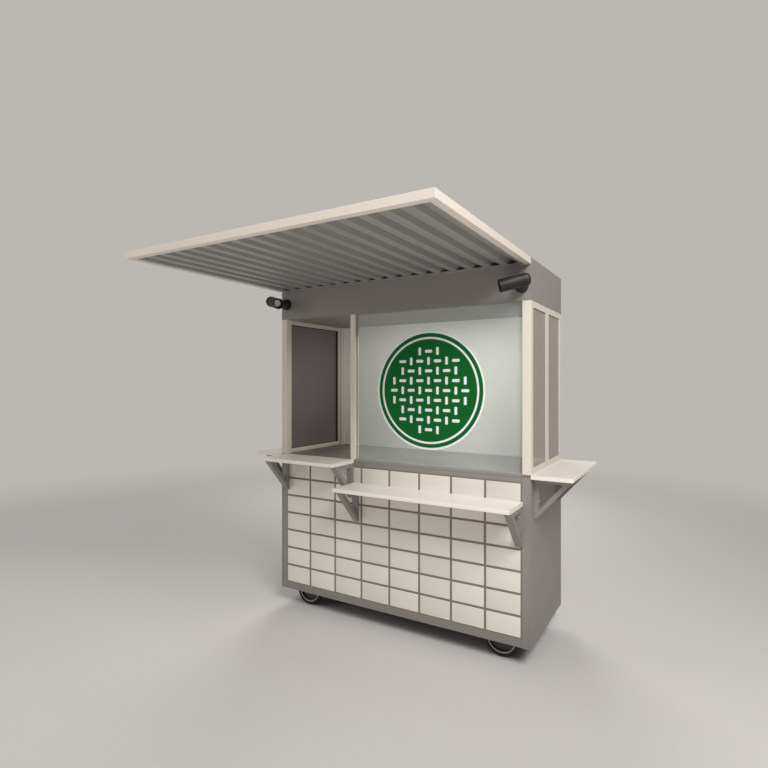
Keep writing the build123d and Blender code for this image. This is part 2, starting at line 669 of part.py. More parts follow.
long_shelf_brackets = front_brackets(
    LONG_SHELF_TOP - SHELF_BOARD,
    (LONG_LEFT + BRACKET_WIDTH / 2, LONG_RIGHT - BRACKET_WIDTH / 2),
)
long_shelf_brackets.label = "long_shelf_brackets"
export_step(long_shelf_brackets, "parts/long_shelf_brackets.step")

SIDE_BRACKET_Y = DEPTH / 2 - SIDE_BRACKET_INSET

with BuildPart() as side_shelves:
    with BuildSketch(level(Z_DECK - SHELF_BOARD)):
        with GridLocations(WIDTH + SIDE_SHELF_REACH, 0, 2, 1):
            Rectangle(SIDE_SHELF_REACH, DEPTH)
    extrude(amount=SHELF_BOARD)
    outer_faces = side_shelves.faces().sort_by(Axis.X)
    fillet(outer_faces[0].edges().filter_by(Axis.Y), SHELF_ROUND)
    outer_faces = side_shelves.faces().sort_by(Axis.X)
    fillet(outer_faces[-1].edges().filter_by(Axis.Y), SHELF_ROUND)
side_shelves.part.label = "side_shelves"
export_step(side_shelves.part, "parts/side_shelves.step")

with BuildPart() as side_shelf_brackets:
    for middle in (Y_MID - SIDE_BRACKET_Y, Y_MID + SIDE_BRACKET_Y):
        for wall, outward in ((-END, -1), (END, 1)):
            with BuildSketch(upright(middle + BRACKET_WIDTH / 2)):
                draw_bracket(wall, Z_DECK - SHELF_BOARD, outward, 0)
            extrude(amount=BRACKET_WIDTH)
            with BuildSketch(upright(middle + BRACKET_WIDTH / 2 - BRACKET_SKIN)):
                draw_bracket(wall, Z_DECK - SHELF_BOARD, outward, BRACKET_SKIN)
            extrude(amount=BRACKET_WIDTH - 2 * BRACKET_SKIN, mode=Mode.SUBTRACT)
side_shelf_brackets.part.label = "side_shelf_brackets"
export_step(side_shelf_brackets.part, "parts/side_shelf_brackets.step")

# --------------------------------------------------------------- spot lamps
LAMP_X = END - LAMP_FROM_END
LAMP_Y = Y_FRONT - LAMP_STANDOFF
TURN = radians(HEAD_TURN)
BOSS_REACH = HEAD_RADIUS / cos(TURN) + HEAD_BOSS_RADIUS * tan(TURN) + HEAD_BOSS
STEM_END = LAMP_STANDOFF - BOSS_REACH - LAMP_PIVOT_GAP

with BuildPart() as lamp_feet:
    for foot_x, foot_z in ((-LAMP_X, LEFT_LAMP_HEIGHT), (LAMP_X, RIGHT_LAMP_HEIGHT)):
        with BuildSketch(Plane(origin=(foot_x, Y_FRONT, foot_z), x_dir=(1, 0, 0), z_dir=(0, 0, 1))):
            with BuildLine():
                Polyline(
                    (LAMP_STEM_RADIUS, -LAMP_FOOT_LENGTH),
                    (LAMP_STEM_RADIUS, -STEM_END),
                    (0, -STEM_END),
                    (0, 0),
                    (LAMP_FOOT_RADIUS, 0),
                    (LAMP_FOOT_RADIUS, -LAMP_FOOT_PLATE),
                )
                RadiusArc(
                    (LAMP_FOOT_RADIUS, -LAMP_FOOT_PLATE),
                    (LAMP_STEM_RADIUS, -LAMP_FOOT_LENGTH),
                    LAMP_FOOT_HOLLOW,
                )
            make_face()
        revolve(axis=Axis((foot_x, Y_FRONT, foot_z), (0, 1, 0)))
lamp_feet.part.label = "lamp_feet"
export_step(lamp_feet.part, "parts/lamp_feet.step")

HEAD_BACK = HEAD_AHEAD - HEAD_LENGTH
LAMPS = (("left_lamp", -1, LEFT_LAMP_HEIGHT), ("right_lamp", 1, RIGHT_LAMP_HEIGHT))

for name, side, height in LAMPS:
    pivot = Vector(side * LAMP_X, LAMP_Y, height)
    aim = Vector(-side, 0, 0).rotate(Axis.Y, -side * HEAD_TILT).rotate(Axis.Z, side * HEAD_TURN)
    head_plane = Plane(origin=pivot, x_dir=aim, z_dir=aim.cross(Vector(0, 0, 1)))
    with BuildPart() as head:
        with BuildSketch(head_plane):
            with BuildLine():
                Polyline(
                    (HEAD_BACK + HEAD_DOME, HEAD_RADIUS),
                    (HEAD_AHEAD, HEAD_RADIUS),
                    (HEAD_AHEAD, HEAD_RADIUS - HEAD_WALL),
                    (HEAD_AHEAD - HEAD_CUP, HEAD_RADIUS - HEAD_WALL),
                    (HEAD_AHEAD - HEAD_CUP, 0),
                    (HEAD_BACK, 0),
                    (HEAD_BACK, HEAD_RADIUS - HEAD_DOME),
                )
                RadiusArc(
                    (HEAD_BACK, HEAD_RADIUS - HEAD_DOME),
                    (HEAD_BACK + HEAD_DOME, HEAD_RADIUS),
                    HEAD_DOME,
                )
            make_face()
        revolve(axis=Axis(pivot, aim))
        with BuildSketch(Plane(origin=pivot, x_dir=(1, 0, 0), z_dir=(0, 1, 0))):
            Circle(HEAD_BOSS_RADIUS)
        extrude(amount=BOSS_REACH)
    head.part.label = f"{name}_head"
    export_step(head.part, f"parts/{name}_head.step")

    with BuildPart() as lens:
        with BuildSketch(Plane(origin=pivot + aim * (HEAD_AHEAD - HEAD_CUP), z_dir=aim)):
            Circle(LENS_RADIUS)
        extrude(amount=LENS)
    lens.part.label = f"{name}_lens"
    export_step(lens.part, f"parts/{name}_lens.step")
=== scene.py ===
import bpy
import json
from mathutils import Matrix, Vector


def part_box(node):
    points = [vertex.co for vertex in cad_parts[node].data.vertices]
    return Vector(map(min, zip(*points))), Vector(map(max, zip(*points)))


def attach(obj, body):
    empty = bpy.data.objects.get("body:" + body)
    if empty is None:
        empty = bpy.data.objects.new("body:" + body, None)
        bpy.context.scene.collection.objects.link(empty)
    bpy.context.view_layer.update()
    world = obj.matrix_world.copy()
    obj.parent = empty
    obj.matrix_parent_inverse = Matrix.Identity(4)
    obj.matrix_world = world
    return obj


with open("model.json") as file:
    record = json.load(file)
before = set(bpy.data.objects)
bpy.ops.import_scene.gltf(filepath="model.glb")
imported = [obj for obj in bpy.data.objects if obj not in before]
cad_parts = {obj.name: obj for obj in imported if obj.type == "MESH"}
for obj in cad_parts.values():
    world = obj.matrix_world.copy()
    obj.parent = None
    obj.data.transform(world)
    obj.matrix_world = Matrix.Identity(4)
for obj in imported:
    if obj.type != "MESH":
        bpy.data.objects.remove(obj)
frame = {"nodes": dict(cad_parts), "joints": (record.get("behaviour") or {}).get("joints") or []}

"""Street kiosk on castors: finishes, tiles, glazing, fixings, roundel and studio.

Laid out as an add-on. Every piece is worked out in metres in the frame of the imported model:
+X to the right of someone facing the kiosk, +Y from front to back, +Z up.
"""

import json
from math import radians

import bpy
import numpy as np

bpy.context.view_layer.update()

bl_info = {
    "name": "Street kiosk",
    "version": (1, 0, 0),
    "blender": (4, 5, 0),
    "location": "View3D > Sidebar > Kiosk",
    "description": "Finishes and small pieces of a street kiosk on castors",
    "category": "Object",
}

BODY = "kiosk"
WHEELS = ("wheel_front_left", "wheel_front_right", "wheel_back_left", "wheel_back_right")
LAMPS = ("left_lamp", "right_lamp")
MILLIMETRE = 0.001
FLAT_ANGLE = radians(32)  # edges sharper than this stay crisp
CORNER_POINTS = 2  # points on each corner of a rounded rectangle
MIX_A, MIX_B, MIX_OUT = 6, 7, 2  # colour sockets of a mix node
SPLASH_LOW, SPLASH_HIGH = 0.12, 0.42  # heights between which road splash fades out, metres
SPLASH_TINT = "#6d645a"
GLASS_IOR = 1.52  # of soda-lime glass, and of the tiles' glaze

# Each light's name, place, the point it faces, width and depth in metres, power in watts
LIGHTS = (
    ("key", (4.0, -3.0, 5.5), (0.2, 0.3, 1.1), 2.6, 2.6, 417.0),
    ("left_fill", (-4.5, -3.5, 2.6), (0.2, 0.3, 1.1), 3.0, 3.0, 69.0),
    ("bounce", (1.8, -2.8, 0.02), (1.8, -2.8, 1.0), 3.0, 3.0, 52.0),
    ("back_fill", (-2.5, 5.5, 3.6), (0.0, 0.6, 1.2), 3.0, 3.0, 230.0),
    ("inner_fill", (0.2, 0.44, 2.18), (0.2, 0.84, 1.2), 1.4, 0.1, 6.3),
)

# Local x, y and z of a piece that faces each way, as rows in the frame of the model
FRONT = ((1, 0, 0), (0, 0, 1), (0, -1, 0))
BACK = ((-1, 0, 0), (0, 0, 1), (0, 1, 0))
RIGHT = ((0, 1, 0), (0, 0, 1), (1, 0, 0))
LEFT = ((0, -1, 0), (0, 0, 1), (-1, 0, 0))
DOWN = ((1, 0, 0), (0, -1, 0), (0, 0, -1))


# ---------------------------------------------------------------- colours and settings


def linear(code):
    """Linear red, green and blue of an sRGB hex colour."""
    parts = np.array([int(code[at:at + 2], 16) for at in (1, 3, 5)]) / 255
    low, high = parts / 12.92, ((parts + 0.055) / 1.055) ** 2.4
    return tuple(float(part) for part in np.where(parts <= 0.04045, low, high))


def colour(name, description, code):
    """Colour property whose default is an sRGB hex colour."""
    return bpy.props.FloatVectorProperty(
        name=name, description=description, subtype="COLOR", size=3, min=0, max=1,
        default=linear(code))


def length(name, description, default):
    """Length property in metres."""
    return bpy.props.FloatProperty(
        name=name, description=description, default=default, min=0, unit="LENGTH", precision=4)


class KioskColours(bpy.types.PropertyGroup):
    """Colours of the kiosk's finishes."""

    steel: colour("Steel", "Powder coat on the steel frame and brackets", "#8b8682")
    board: colour("Board", "Sprayed boards of base, fascia and roof", "#89837f")
    cream: colour("Cream", "Coating of posts, canopy frame and window timber", "#d8cec1")
    shelf: colour("Shelf", "Laminate of the shelves", "#e7e0d5")
    white: colour("White", "Melamine face of the rear wall", "#e9e4dd")
    tile: colour("Tile", "Glaze of the wall tiles", "#e3ddd3")
    grout: colour("Grout", "Cement joints between the tiles", "#898177")
    worktop: colour("Worktop", "Laminate of the worktop", "#746d68")
    # Painted reflection and shade: the side panes' body colour stands for what they reflect and
    # the shaded inside behind them
    side_pane_painted_reflection_and_shade: colour("Smoked glass", "Body of the side windows", "#8f8479")
    # Painted darkness: the film's colour stands for the dim surroundings seen through the side
    # panes
    film: colour("Film", "Smoke film inside the side windows", "#716b6a")
    ribbed: colour("Ribbed sheet", "Coating of the canopy's ribbed sheet", "#8c8986")
    glass: colour("Glass", "Tint of the front pane", "#eff4f2")
    sealant: colour("Sealant", "Silicone round the panes", "#85827c")
    green: colour("Green", "Film of the roundel", "#035a20")
    film_white: colour("Film white", "White film of the roundel", "#e2e6e0")
    black: colour("Black", "Coating of the lamps", "#151414")
    lens: colour("Lens", "Frosted lens of the lamps", "#cfd2d3")
    rubber: colour("Rubber", "Tyres and gaskets", "#211f1e")
    nylon: colour("Nylon", "Web of the wheels", "#383736")
    wheel_ring: colour("Wheel ring", "Pale ring of the wheels", "#b0aca6")
    zinc: colour("Zinc", "Plating of castors and fixings", "#b3b2ae")
    plywood: colour("Plywood", "Resin-faced floor board", "#4d443c")


class KioskTiles(bpy.types.PropertyGroup):
    """Sizes of the tiled front."""

    across: bpy.props.IntProperty(
        name="Across", description="Tiles in one course", default=8, min=1)
    courses: bpy.props.IntProperty(
        name="Courses", description="Courses of tiles", default=7, min=1)
    joint: length("Joint", "Width of a joint", 0.0155)
    thickness: length("Proud", "Face of a tile in front of the joints", 0.003)
    edge: length("Edge", "Radius of a tile's edge", 0.0022)


class KioskRoundel(bpy.types.PropertyGroup):
    """Sizes of the film roundel on the front pane."""

    radius: length("Radius", "Outer radius", 0.405)
    from_mullion: length("From mullion", "Centre to the pane's left edge", 0.589)
    above_worktop: length("Above worktop", "Centre to the pane's lower edge", 0.512)


class KioskStage(bpy.types.PropertyGroup):
    """Camera, floor and light of the studio."""

    lens: bpy.props.FloatProperty(
        name="Lens", description="Focal length in millimetres", default=24.91)
    place: bpy.props.FloatVectorProperty(
        name="Place", description="Where the camera stands", subtype="TRANSLATION",
        default=(1.9007, -2.9607, 1.7607))
    turn: bpy.props.FloatProperty(
        name="Turn", description="Heading, from the front towards the left",
        default=radians(31.007), unit="ROTATION")
    tilt: bpy.props.FloatProperty(
        name="Tilt", description="Above or below level", default=radians(-0.077),
        unit="ROTATION")
    floor: colour("Floor", "Pale studio floor", "#c9c5c1")
    beyond: colour("Beyond", "What lies beyond the lit floor", "#bbb7b3")


# ---------------------------------------------------------------- shapes


def turned(profile, sides):
    """Rings of a turned piece: each ring has one radius and one height of the profile, its
    points radius times the cosine and sine of evenly spaced angles."""
    radius, height = np.asarray(profile, float).T[:, :, None]
    angle = np.arange(sides) * (2 * np.pi / sides)
    return np.stack((radius * np.cos(angle), radius * np.sin(angle),
                     height + 0 * angle), axis=-1)


def boxed(half_x, half_y, corner, profile):
    """Rings of a rounded rectangle: each ring lies one inset inside the outline, at one height.
    A point is the centre of its corner plus what is left of the corner radius times the cosine
    and sine of its angle."""
    inset, height = np.asarray(profile, float).T[:, :, None]
    turn = np.linspace(0, np.pi / 2, CORNER_POINTS)
    angle = (np.arange(4)[:, None] * (np.pi / 2) + turn).ravel()
    side_x = np.repeat((1, -1, -1, 1), CORNER_POINTS)
    side_y = np.repeat((1, 1, -1, -1), CORNER_POINTS)
    radius = np.maximum(corner - inset, corner / 20)
    return np.stack((side_x * (half_x - inset - radius) + radius * np.cos(angle),
                     side_y * (half_y - inset - radius) + radius * np.sin(angle),
                     height + 0 * angle), axis=-1)


def toward(line):
    """Local x, y and z of a piece whose z runs along a slanting line and whose x is level."""
    out = np.asarray(line, float) / np.linalg.norm(line)
    across = np.cross((0, 0, 1), out)
    across /= np.linalg.norm(across)
    return across, np.cross(out, across), out


def placed(rings, centres, facing):
    """Copies of the rings, turned to face one way, one at each centre."""
    centres = np.asarray(centres, float).reshape(-1, 1, 1, 3)
    return centres + rings @ np.array(facing, float)


def grid(xs, ys, zs):
    """Every point with one of the xs, one of the ys and one of the zs."""
    return np.stack(np.meshgrid(xs, ys, zs, indexing="ij"), axis=-1).reshape(-1, 3)


def build(name, rings, finish, body=BODY, closed=False, tone_seed=None):
    """One mesh from copies x rings x points x 3. Each face joins two neighbours on a ring to the
    same two on the next ring. Flat caps close the first and last ring, or the last ring joins
    the first where closed. A tone for each copy goes into an attribute where a seed is given."""
    copies, stages, around, _ = rings.shape
    index = np.arange(copies * stages * around).reshape(copies, stages, around)
    lower, upper = (index, np.roll(index, -1, 1)) if closed else (index[:, :-1], index[:, 1:])
    quads = np.stack((lower, np.roll(lower, -1, 2), np.roll(upper, -1, 2), upper), -1)
    faces = quads.reshape(-1, 4).tolist()
    if not closed:
        faces += index[:, 0, ::-1].tolist() + index[:, -1].tolist()
    mesh = bpy.data.meshes.new(name)
    mesh.from_pydata(rings.reshape(-1, 3), [], faces)
    if tone_seed is not None:
        tones = np.random.default_rng(tone_seed).random(copies)
        store = mesh.attributes.new("tone", "FLOAT", "POINT")
        store.data.foreach_set("value", np.repeat(tones, stages * around))
    mesh.shade_smooth()
    mesh.set_sharp_from_angle(angle=FLAT_ANGLE)
    mesh.materials.append(bpy.data.materials[finish])
    piece = bpy.data.objects.new(name, mesh)
    bpy.context.scene.collection.objects.link(piece)
    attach(piece, body)


def drawn(profile, low, high):
    """Rings of a straight bar: one profile in local x and y, drawn out between two heights."""
    outline = np.asarray(profile, float)
    stages = np.broadcast_to(outline, (2, *outline.shape))
    height = np.broadcast_to(np.array((low, high), float)[:, None, None], (2, len(outline), 1))
    return np.concatenate((stages, height), axis=-1)


def joined(*parts):
    """Groups of copies that have the same number of rings and points, as one group."""
    return np.concatenate(parts, axis=0)


# ---------------------------------------------------------------- materials


def add(tree, kind, values=None, links=None, **settings):
    """Add a node: its properties, the values of its sockets, and the sockets linked to them."""
    node = tree.nodes.new(kind)
    for key, value in settings.items():
        setattr(node, key, value)
    for key, value in (values or {}).items():
        node.inputs[key].default_value = value
    for key, source in (links or {}).items():
        tree.links.new(source, node.inputs[key])
    return node


def begun(name):
    """Node tree, still empty, of a new material of that name."""
    material = bpy.data.materials.new(name)
    material.use_nodes = True
    material.node_tree.nodes.clear()
    return material.node_tree


def opaque(tint):
    """Colour with full alpha, as colour sockets take it."""
    return (*tint, 1.0)


def darker(tint, share):
    """The colour with that share of its light taken away."""
    return tuple(part * (1 - share) for part in tint)


def coat(name, tint, patch, shade, grain, depth, roughness, spread, splash=0.0, stretch=(1, 1, 1),
         **sockets):
    """Opaque finish: the colour clouds over patches of one size by a share, fine grain of
    another size stands up by a depth, roughness spreads either side of its middle, and splash
    is how far the colour greys near the ground. Patch, grain and depth are in millimetres."""
    tree = begun(name)
    place = add(tree, "ShaderNodeTexCoord").outputs["Object"]
    along = add(tree, "ShaderNodeMapping", {"Scale": stretch}, {"Vector": place})
    clouds = add(tree, "ShaderNodeTexNoise", {"Scale": 1000 / patch, "Detail": 4.0},
                 {"Vector": along.outputs["Vector"]})
    tinted = add(tree, "ShaderNodeMix",
                 {MIX_A: opaque(darker(tint, shade)), MIX_B: opaque(tint)},
                 {0: clouds.outputs["Fac"]}, data_type="RGBA")
    colour_out = tinted.outputs[MIX_OUT]
    if splash:
        height = add(tree, "ShaderNodeSeparateXYZ", None, {"Vector": place})
        low = add(tree, "ShaderNodeMapRange",
                  {"From Min": SPLASH_LOW, "From Max": SPLASH_HIGH,
                   "To Min": splash, "To Max": 0.0},
                  {"Value": height.outputs["Z"]}, interpolation_type="SMOOTHSTEP")
        broken = add(tree, "ShaderNodeMath", None,
                     {0: low.outputs["Result"], 1: clouds.outputs["Fac"]},
                     operation="MULTIPLY")
        tinted = add(tree, "ShaderNodeMix", {MIX_B: opaque(linear(SPLASH_TINT))},
                     {0: broken.outputs["Value"], MIX_A: colour_out}, data_type="RGBA")
        colour_out = tinted.outputs[MIX_OUT]
    fine = add(tree, "ShaderNodeTexNoise", {"Scale": 1000 / grain, "Detail": 2.0},
               {"Vector": along.outputs["Vector"]})
    bump = add(tree, "ShaderNodeBump", {"Strength": 1.0, "Distance": depth * MILLIMETRE},
               {"Height": fine.outputs["Fac"]})
    rough = add(tree, "ShaderNodeMapRange",
                {"From Min": 0.25, "From Max": 0.75,
                 "To Min": roughness - spread, "To Max": roughness + spread},
                {"Value": clouds.outputs["Fac"]})
    shader = add(tree, "ShaderNodeBsdfPrincipled", sockets,
                 {"Base Color": colour_out, "Roughness": rough.outputs["Result"],
                  "Normal": bump.outputs["Normal"]})
    add(tree, "ShaderNodeOutputMaterial", None, {"Surface": shader.outputs["BSDF"]})


def glazed_tile(colours):
    """Glazed ceramic: a glassy white glaze that pools slightly, each tile a shade apart."""
    tree = begun("glazed_ceramic")
    place = add(tree, "ShaderNodeTexCoord").outputs["Object"]
    tone = add(tree, "ShaderNodeAttribute", attribute_name="tone")
    tinted = add(tree, "ShaderNodeMix",
                 {MIX_A: opaque(darker(colours.tile, 0.13)), MIX_B: opaque(colours.tile)},
                 {0: tone.outputs["Fac"]}, data_type="RGBA")
    pooled = add(tree, "ShaderNodeTexNoise", {"Scale": 1000 / 60, "Detail": 2.0},
                 {"Vector": place})  # the glaze pools over about 60 mm
    bump = add(tree, "ShaderNodeBump", {"Strength": 1.0, "Distance": 0.5 * MILLIMETRE},
               {"Height": pooled.outputs["Fac"]})
    shader = add(tree, "ShaderNodeBsdfPrincipled",
                 {"Roughness": 0.16, "IOR": GLASS_IOR, "Coat Weight": 0.5,
                  "Coat Roughness": 0.06},
                 {"Base Color": tinted.outputs[MIX_OUT], "Normal": bump.outputs["Normal"]})
    add(tree, "ShaderNodeOutputMaterial", None, {"Surface": shader.outputs["BSDF"]})


def glass(name, tint, transmission, body_tint, roughness):
    """Pane of glass: a refracting body, clear or filmed, for what is seen, and its bare tint for
    light on its way to a surface. The smears of cleaning show in its roughness."""
    tree = begun(name)
    place = add(tree, "ShaderNodeTexCoord").outputs["Object"]
    smear = add(tree, "ShaderNodeTexNoise", {"Scale": 1000 / 180, "Detail": 3.0},
                {"Vector": place})  # wiping marks a hand wide
    rough = add(tree, "ShaderNodeMapRange",
                {"From Min": 0.35, "From Max": 0.7, "To Min": roughness,
                 "To Max": roughness + 0.02}, {"Value": smear.outputs["Fac"]})
    pane = add(tree, "ShaderNodeBsdfPrincipled",
               {"Base Color": opaque(body_tint), "Transmission Weight": transmission,
                "IOR": GLASS_IOR}, {"Roughness": rough.outputs["Result"]})
    passing = add(tree, "ShaderNodeBsdfTransparent", {"Color": opaque(tint)})
    ray = add(tree, "ShaderNodeLightPath")
    both = add(tree, "ShaderNodeMixShader", None,
               {0: ray.outputs["Is Shadow Ray"], 1: pane.outputs["BSDF"],
                2: passing.outputs["BSDF"]})
    add(tree, "ShaderNodeOutputMaterial", None, {"Surface": both.outputs["Shader"]})


def seen(tree):
    """One for a ray from the camera, a glossy surface or glass, which meets the backdrop, and
    nought for any other ray: the greatest of three flags."""
    ray = add(tree, "ShaderNodeLightPath")
    either = add(tree, "ShaderNodeMath", None,
                 {0: ray.outputs["Is Camera Ray"], 1: ray.outputs["Is Glossy Ray"]},
                 operation="MAXIMUM")
    any_of_three = add(tree, "ShaderNodeMath", None,
                       {0: either.outputs["Value"], 1: ray.outputs["Is Transmission Ray"]},
                       operation="MAXIMUM")
    return any_of_three.outputs["Value"]


class KIOSK_OT_finishes(bpy.types.Operator):
    """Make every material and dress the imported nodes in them"""

    bl_idname = "kiosk.finishes"
    bl_label = "Finishes"

    def execute(self, context):
        tints = context.scene.kiosk_colours
        # Powder-coated steel: satin, with a faint orange peel and road splash low down
        coat("powder_coated_steel", tints.steel, patch=300, shade=0.10, grain=3, depth=0.08,
             roughness=0.42, spread=0.06, splash=0.5)
        # Sprayed plywood: flatter than the steel, clouded over a roller's width
        coat("sprayed_board", tints.board, patch=420, shade=0.09, grain=4, depth=0.06,
             roughness=0.5, spread=0.07, splash=0.35)
        # Powder-coated aluminium: cream, satin, even
        coat("coated_aluminium", tints.cream, patch=350, shade=0.05, grain=3, depth=0.05,
             roughness=0.38, spread=0.05)
        # Painted timber: brush marks run along the upright pieces
        coat("painted_timber", tints.cream, patch=260, shade=0.06, grain=6, depth=0.12,
             roughness=0.42, spread=0.06, stretch=(1, 1, 0.08))
        # High-pressure laminate on the shelves: matt, finely pebbled
        coat("shelf_laminate", tints.shelf, patch=400, shade=0.05, grain=2, depth=0.05,
             roughness=0.36, spread=0.05)
        # Melamine-faced board: even white with a low sheen
        coat("white_melamine", tints.white, patch=500, shade=0.04, grain=3, depth=0.03,
             roughness=0.4, spread=0.04)
        # Cement grout: matt, sandy, a little uneven in colour
        coat("cement_grout", tints.grout, patch=45, shade=0.3, grain=2, depth=0.5, roughness=0.9,
             spread=0.05)
        # Laminate worktop: warm grey, wiped satin
        coat("worktop_laminate", tints.worktop, patch=300, shade=0.08, grain=2, depth=0.04,
             roughness=0.35, spread=0.06)
        # Coil-coated ribbed aluminium: mid grey, low sheen
        coat("coil_coated_aluminium", tints.ribbed, patch=380, shade=0.10, grain=3, depth=0.04,
             roughness=0.42, spread=0.06)
        # Powder-coated aluminium of the lamps: black with a fine texture
        coat("black_coated_aluminium", tints.black, patch=80, shade=0.2, grain=1.5, depth=0.08,
             roughness=0.56, spread=0.05)
        # Frosted lens: pale, evenly diffusing
        coat("frosted_lens", tints.lens, patch=25, shade=0.08, grain=1.5, depth=0.05,
             roughness=0.25, spread=0.05)
        # Vulcanised rubber: matt black, dusty in patches
        coat("black_rubber", tints.rubber, patch=30, shade=0.35, grain=2, depth=0.15,
             roughness=0.75, spread=0.08)
        # Glass-filled nylon of the wheels: dark, moulded, slightly shiny
        coat("moulded_nylon", tints.nylon, patch=60, shade=0.2, grain=2, depth=0.08,
             roughness=0.45, spread=0.07)
        # Pale nylon of the wheels' rings: smooth, dusty
        coat("pale_nylon", tints.wheel_ring, patch=40, shade=0.15, grain=2, depth=0.05,
             roughness=0.45, spread=0.06)
        # Zinc-plated steel: spangled, dulled by weather
        coat("zinc_plated_steel", tints.zinc, patch=14, shade=0.3, grain=3, depth=0.05,
             roughness=0.4, spread=0.1, Metallic=1.0)
        # Resin-faced plywood of the floor: dark brown, wire-marked
        coat("resin_plywood", tints.plywood, patch=200, shade=0.2, grain=3, depth=0.15,
             roughness=0.5, spread=0.08)
        # Matt cast vinyl film: smooth, faintly rippled where it is stuck down
        matt = {"Specular IOR Level": 0.2}
        coat("green_film", tints.green, patch=120, shade=0.06, grain=20, depth=0.04,
             roughness=0.45, spread=0.04, **matt)
        coat("white_film", tints.film_white, patch=120, shade=0.03, grain=20, depth=0.04,
             roughness=0.45, spread=0.04, **matt)
        glazed_tile(tints)
        # Silicone sealant: smooth, grey, satin
        coat("silicone_sealant", tints.sealant, patch=60, shade=0.06, grain=8, depth=0.1,
             roughness=0.55, spread=0.05)
        # Float glass: clear, a little green, smeared here and there
        glass("float_glass", tints.glass, transmission=0.91, body_tint=tints.glass,
              roughness=0.0)
        # Side window glass: mostly body colour, part of it see-through. The body colour is
        # painted reflection of the surroundings and painted shade of the inside behind the pane
        glass("glass_with_painted_reflection", darker(tints.side_pane_painted_reflection_and_shade, 0.7), transmission=0.08,
              body_tint=tints.side_pane_painted_reflection_and_shade, roughness=0.05)
        # Dark film, smooth, stuck to the inner faces of the side windows: its colour is painted
        # darkness of the dim surroundings seen through the glass
        coat("painted_dark_view_film", tints.film, patch=420, shade=0.05, grain=3, depth=0.03, roughness=0.42,
             spread=0.03)
        worn = {
            "grey_paint": "powder_coated_steel", "grey_board": "sprayed_board",
            "tile": "cement_grout", "zinc": "zinc_plated_steel",
            "cream_paint": "coated_aluminium", "cream_wood": "painted_timber",
            "cream_board": "shelf_laminate", "white_board": "white_melamine",
            "clear_glass": "float_glass", "tinted_glass": "glass_with_painted_reflection",
            "ribbed_sheet": "coil_coated_aluminium", "lamp_black": "black_coated_aluminium",
            "lens_glass": "frosted_lens", "tyre": "black_rubber",
            "wheel_rim": "moulded_nylon", "worktop": "worktop_laminate",
            "floor_board": "resin_plywood",
        }
        for node in frame["nodes"].values():
            for slot in node.material_slots:
                slot.material = bpy.data.materials[worn[slot.material.name]]
        return {"FINISHED"}


# ---------------------------------------------------------------- pieces


class KIOSK_OT_tiles(bpy.types.Operator):
    """Lay the courses of glazed tiles on the front board"""

    bl_idname = "kiosk.tiles"
    bl_label = "Tiles"

    def execute(self, context):
        sizes = context.scene.kiosk_tiles
        low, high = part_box("front_tile_board")
        pitch_x = (high.x - low.x) / sizes.across
        pitch_z = (high.z - low.z) / sizes.courses
        # Quarter-round edge: inset and height follow the sine and cosine of one angle
        bend = np.linspace(0, np.pi / 2, 5)
        edge = np.stack((sizes.edge * (1 - np.cos(bend)),
                         sizes.thickness - sizes.edge * (1 - np.sin(bend))), axis=-1)
        profile = np.vstack(((0, 0), edge))
        corner = 1.5 * MILLIMETRE
        tile = boxed((pitch_x - sizes.joint) / 2, (pitch_z - sizes.joint) / 2, corner, profile)
        centres = grid(low.x + pitch_x * (np.arange(sizes.across) + 0.5), (low.y,),
                       low.z + pitch_z * (np.arange(sizes.courses) + 0.5))
        build("wall_tiles", placed(tile, centres, FRONT), "glazed_ceramic",
              tone_seed=7)
        return {"FINISHED"}


class KIOSK_OT_roundel(bpy.types.Operator):
    """Stick the round film sign on the front pane"""

    bl_idname = "kiosk.roundel"
    bl_label = "Roundel"

    def execute(self, context):
        sizes = context.scene.kiosk_roundel
        low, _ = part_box("front_glass")
        centre = (low.x + sizes.from_mullion, low.y, low.z + sizes.above_worktop)
        film = 0.4 * MILLIMETRE
        smooth = 128  # points round each disc

        def disc(name, outer, inner, layer, finish):
            """Ring or disc of film: a flat band between two shares of the radius. Each layer
            reaches one film further out than the layer under it."""
            base, top = (layer - 0.5) * film, layer * film
            outer, inner = outer * sizes.radius, inner * sizes.radius
            if inner:
                profile = ((outer, base), (outer, top), (inner, top), (inner, base))
            else:
                profile = ((outer, base), (outer, top))
            build(name, placed(turned(profile, smooth), centre, FRONT), finish,
                  closed=bool(inner))

        disc("roundel_white", outer=1.0, inner=0.0, layer=1, finish="white_film")
        disc("roundel_field", outer=0.965, inner=0.0, layer=2, finish="green_film")
        disc("roundel_line", outer=0.90, inner=0.865, layer=3, finish="white_film")

        # Weave of short slats on a square grid, as far as its centres lie inside a circle. A slat
        # lies level where its row and column add up to an even number, and stands upright where
        # they add up to an odd one
        pitch = 0.165 * sizes.radius
        circle = 0.72 * sizes.radius
        half_length, half_width, corner = 0.40 * pitch, 0.15 * pitch, 0.06 * pitch
        slat = boxed(half_length, half_width, corner, ((0, 2 * film), (0, 3 * film)))
        steps = np.arange(-5, 6)
        row, column = (line.ravel() for line in np.meshgrid(steps, steps, indexing="ij"))
        across, up = column * pitch, row * pitch
        inside = np.hypot(across, up) < circle
        level = (row + column) % 2 == 0
        spots = np.stack((across, np.zeros(across.size), up), axis=-1)
        build("roundel_weave", joined(
            placed(slat, centre + spots[inside & level], FRONT),
            placed(slat[..., (1, 0, 2)][:, ::-1], centre + spots[inside & ~level], FRONT)),
            "white_film")
        return {"FINISHED"}


